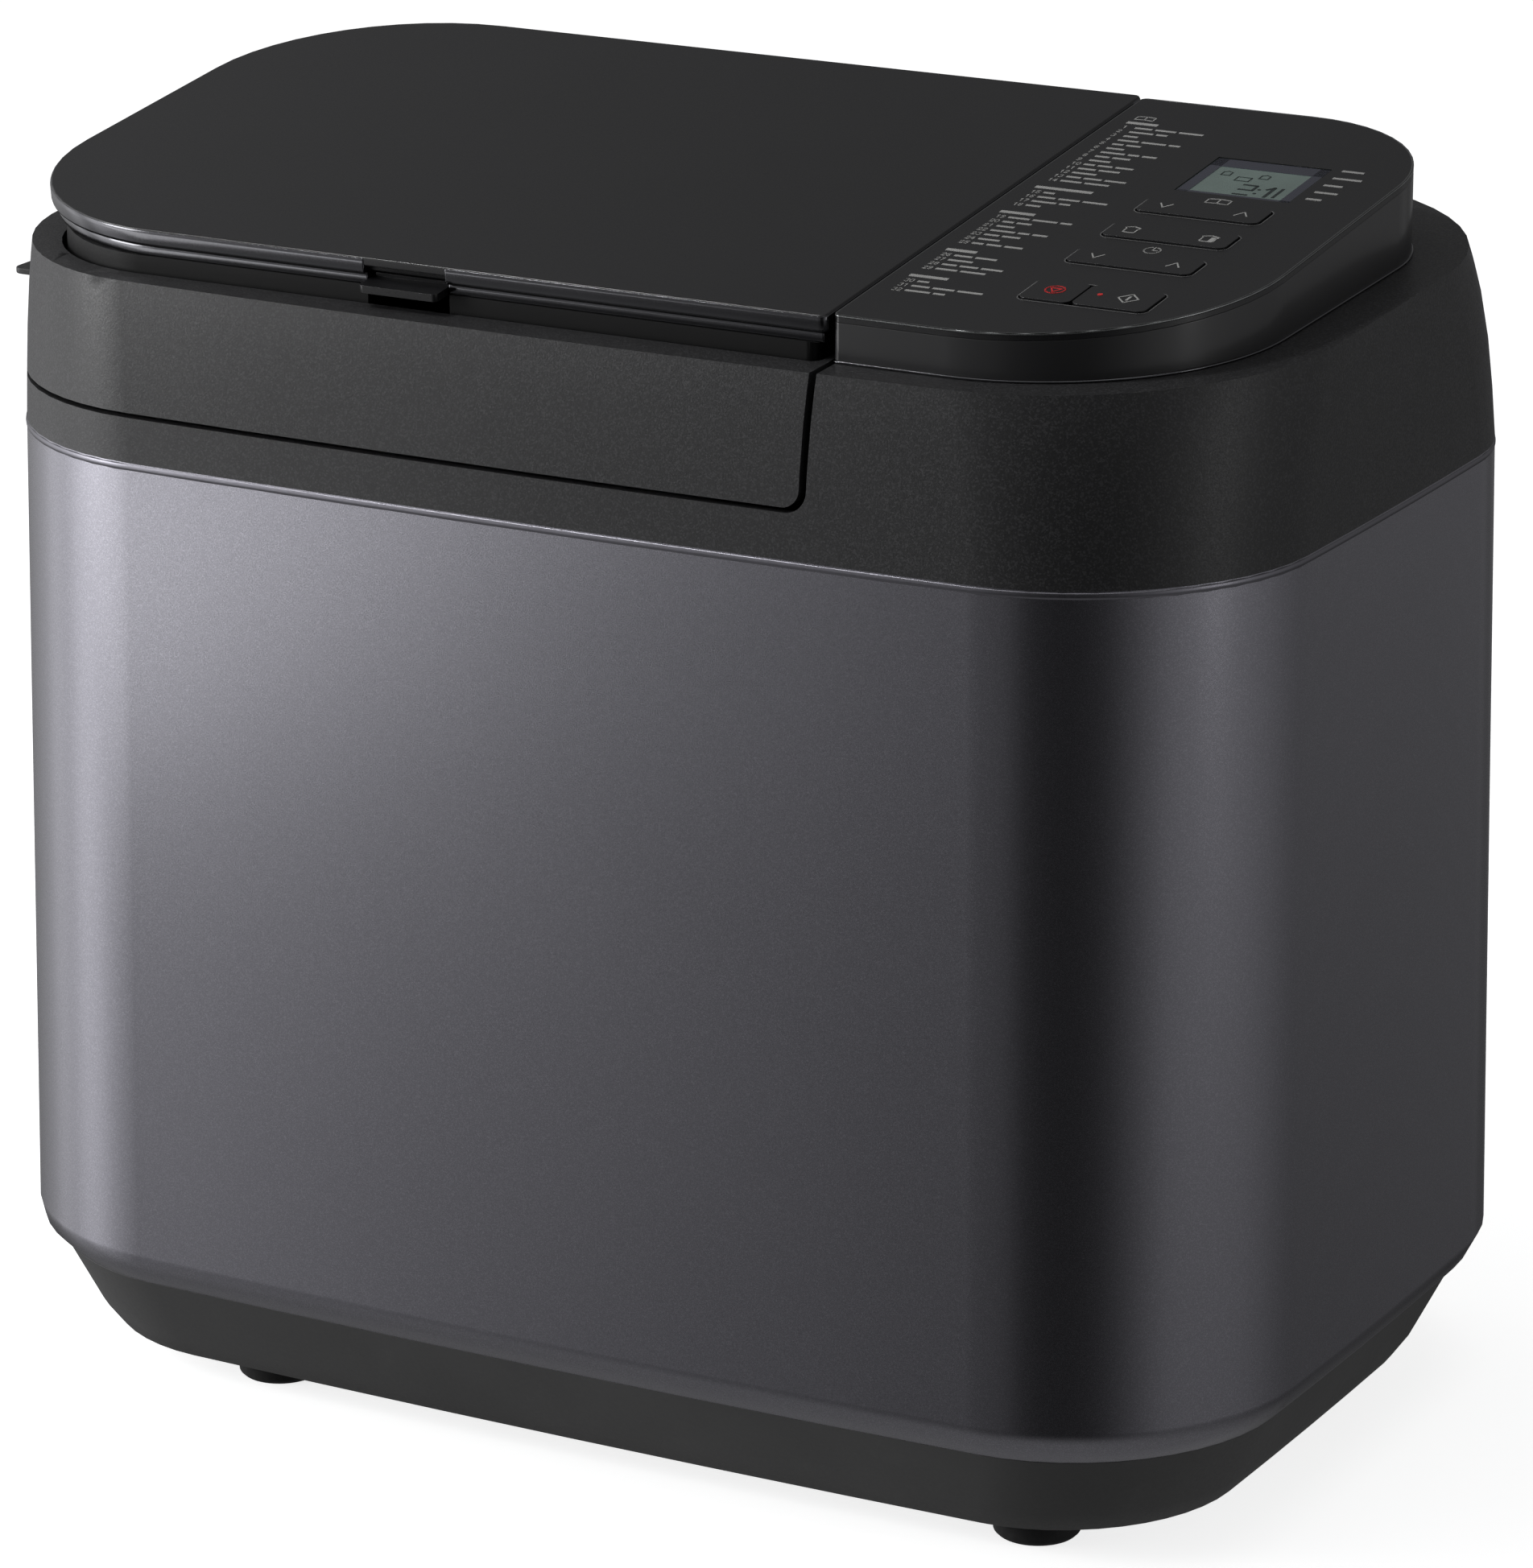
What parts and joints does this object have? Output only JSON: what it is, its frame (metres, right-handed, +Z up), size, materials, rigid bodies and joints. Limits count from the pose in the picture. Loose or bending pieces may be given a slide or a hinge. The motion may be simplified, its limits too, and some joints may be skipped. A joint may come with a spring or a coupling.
{
  "type": "bread machine",
  "caption": "Countertop bread machine with hinged lid, dispenser cover, removable kneading pan and sloping control panel.",
  "frame": {"origin": "centre of the bounding box in plan, on the surface the feet stand on", "axes": "+X to the right seen from the front, +Y to the back, +Z up"},
  "size_m": [0.4066, 0.255, 0.3681],
  "materials": {
    "dark_plastic": "fine textured charcoal moulding",
    "base_plastic": "smooth matt moulding",
    "case_metal": "dark pearl metallic coating on sheet steel",
    "satin_black": "satin black",
    "inner_black": "matt black",
    "rubber_black": "soft rubber",
    "silicone": "heat-proof silicone",
    "steel": "turned or rolled steel",
    "zinc_sheet": "zinc-plated sheet",
    "cast": "die-cast",
    "heater": "oxidised tube",
    "nonstick": "dark non-stick coating",
    "wire": "bent wire",
    "nylon": "natural nylon",
    "orange": "coloured moulding",
    "board": "printed circuit board",
    "lcd": "display",
    "window": "clear window"
  },
  "bodies": {
    "case": {"base_tray": "base_plastic", "foot_front_left": "rubber_black", "foot_front_right": "rubber_black", "foot_back_left": "rubber_black", "foot_back_right": "rubber_black", "base_screws": "steel", "outer_case": "case_metal", "top_frame": "dark_plastic", "chassis_plate": "zinc_sheet", "baking_chamber": "zinc_sheet", "heater_element": "heater", "heater_clips": "steel", "temperature_sensor": "nylon", "pan_socket": "cast", "drive_bearing": "cast", "drive_belt": "rubber_black", "motor": "zinc_sheet", "motor_screws": "steel", "power_board": "board", "power_parts": "inner_black", "cord_gland": "inner_black", "hinge_brackets": "dark_plastic", "hinge_pins": "steel", "control_housing": "satin_black", "control_fascia": "satin_black", "lcd_window": "window", "lcd_module": "lcd", "control_board": "board", "tact_switches": "inner_black"},
    "drive": {"drive_shaft": "steel", "drive_pulley": "nylon"},
    "rotor": {"motor_shaft": "steel", "motor_pulley": "cast"},
    "pan": {"bread_pan": "nonstick", "pan_lugs": "wire", "pan_bearing": "cast"},
    "handle": {"pan_handle": "wire"},
    "agitator": {"pan_shaft": "steel", "kneading_blade": "nonstick"},
    "lid": {"lid_skirt": "dark_plastic", "lid_tab": "dark_plastic", "lid_inner_plate": "cast", "lid_seal": "silicone", "steam_vent": "inner_black", "dispenser_tray": "inner_black", "yeast_cup": "nylon", "cover_hinge_pins": "steel"},
    "flap": {"dispenser_flap": "inner_black"},
    "valve": {"yeast_valve": "orange"},
    "cover": {"dispenser_cover": "satin_black", "cover_frame": "inner_black"},
    "latch": {"cover_latch": "satin_black"},
    "menu_key": {"key_menu": "satin_black"},
    "size_key": {"key_size": "satin_black"},
    "timer_key": {"key_timer": "satin_black"},
    "stop_key": {"key_stop": "satin_black"},
    "start_key": {"key_start": "satin_black"}
  },
  "joints": [
    {"name": "lid_hinge", "type": "hinge", "parent": "case", "child": "lid", "pos_m": [-0.05382, 0.116, 0.304], "axis": [-1, 0, 0], "range_deg": [0, 86]},
    {"name": "cover_hinge", "type": "hinge", "parent": "lid", "child": "cover", "pos_m": [-0.05382, 0.089, 0.352], "axis": [-1, 0, 0], "range_deg": [0, 95]},
    {"name": "cover_latch_press", "type": "slide", "parent": "cover", "child": "latch", "axis": [0, 0.9929, 0.1191], "range_m": [0, 0.0015], "stiffness_N_per_m": 300},
    {"name": "flap_hinge", "type": "hinge", "parent": "lid", "child": "flap", "pos_m": [-0.09782, 0.014, 0.2892], "axis": [1, 0, 0], "range_deg": [0, 62], "stiffness_Nm_per_rad": 0.006, "springref_deg": -51.57},
    {"name": "valve_hinge", "type": "hinge", "parent": "lid", "child": "valve", "pos_m": [0.01617, 0.007, 0.2892], "axis": [1, 0, 0], "range_deg": [0, 70], "stiffness_Nm_per_rad": 0.0008, "springref_deg": -51.57},
    {"name": "drive_spin", "type": "hinge", "parent": "case", "child": "drive", "pos_m": [-0.05382, 0, 0.05], "axis": [0, 0, 1], "continuous": true},
    {"name": "motor_spin", "type": "hinge", "parent": "case", "child": "rotor", "pos_m": [0.12718, 0, 0.07], "axis": [0, 0, 1], "continuous": true},
    {"name": "blade_spin", "type": "hinge", "parent": "case", "child": "agitator", "pos_m": [-0.05382, 0, 0.1], "axis": [0, 0, 1], "continuous": true},
    {"name": "pan_twist", "type": "hinge", "parent": "case", "child": "pan", "pos_m": [-0.05382, 0, 0.09], "axis": [0, 0, 1], "range_deg": [0, 6]},
    {"name": "handle_raise", "type": "hinge", "parent": "pan", "child": "handle", "pos_m": [-0.05382, 0, 0.24], "axis": [1, 0, 0], "range_deg": [0, 35]},
    {"name": "menu_key_rock", "type": "hinge", "parent": "case", "child": "menu_key", "pos_m": [0.14283, 0.00038, 0.35392], "axis": [0, 0.9929, 0.1191], "range_deg": [-1.5, 1.5], "stiffness_Nm_per_rad": 0.15},
    {"name": "size_key_rock", "type": "hinge", "parent": "case", "child": "size_key", "pos_m": [0.14283, -0.02062, 0.3514], "axis": [0, 0.9929, 0.1191], "range_deg": [-1.5, 1.5], "stiffness_Nm_per_rad": 0.15},
    {"name": "timer_key_rock", "type": "hinge", "parent": "case", "child": "timer_key", "pos_m": [0.14283, -0.04242, 0.34878], "axis": [0, 0.9929, 0.1191], "range_deg": [-1.5, 1.5], "stiffness_Nm_per_rad": 0.15},
    {"name": "stop_key_press", "type": "slide", "parent": "case", "child": "stop_key", "axis": [0, 0.1191, -0.9929], "range_m": [0, 0.0007], "stiffness_N_per_m": 400},
    {"name": "start_key_press", "type": "slide", "parent": "case", "child": "start_key", "axis": [0, 0.1191, -0.9929], "range_m": [0, 0.0007], "stiffness_N_per_m": 400}
  ],
  "couplings": [
    {"joint": "blade_spin", "follows": "drive_spin", "ratio": 1},
    {"joint": "motor_spin", "follows": "drive_spin", "ratio": 5}
  ]
}
